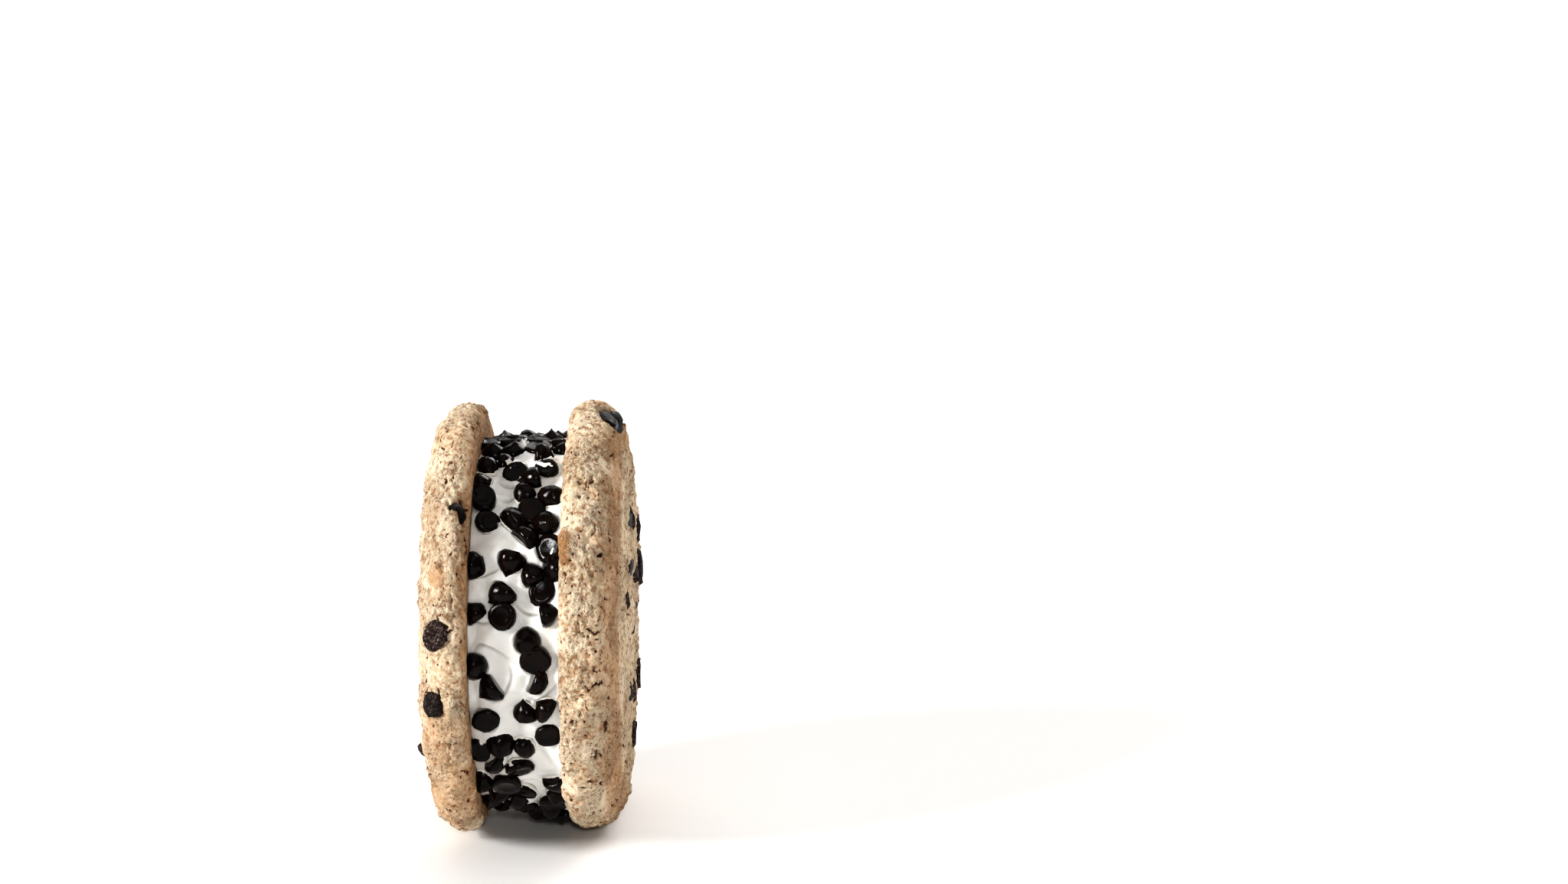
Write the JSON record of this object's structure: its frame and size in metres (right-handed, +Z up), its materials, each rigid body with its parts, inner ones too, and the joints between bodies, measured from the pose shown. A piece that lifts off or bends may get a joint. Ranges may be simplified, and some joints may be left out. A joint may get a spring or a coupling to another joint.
{
  "type": "ice cream sandwich",
  "caption": "Round ice cream sandwich standing on edge: vanilla ice cream between chocolate chip cookies, its side rolled in mini chocolate chips.",
  "frame": {"origin": "middle of the bounding box's underside, on the floor under the ice cream", "axes": "+X through the sandwich from the left cookie to the right one, -Y to the front, +Z up"},
  "size_m": [0.04, 0.0794, 0.0803],
  "materials": {
    "cookie": "baked cookie crumb, matt, pale tan with darker pores",
    "ice_cream": "vanilla ice cream, smooth and softly moist",
    "chocolate": "dark chocolate, satin"
  },
  "bodies": {
    "root": {"cookie_left": "cookie", "ice_cream": "ice_cream", "cookie_right": "cookie"}
  },
  "joints": []
}
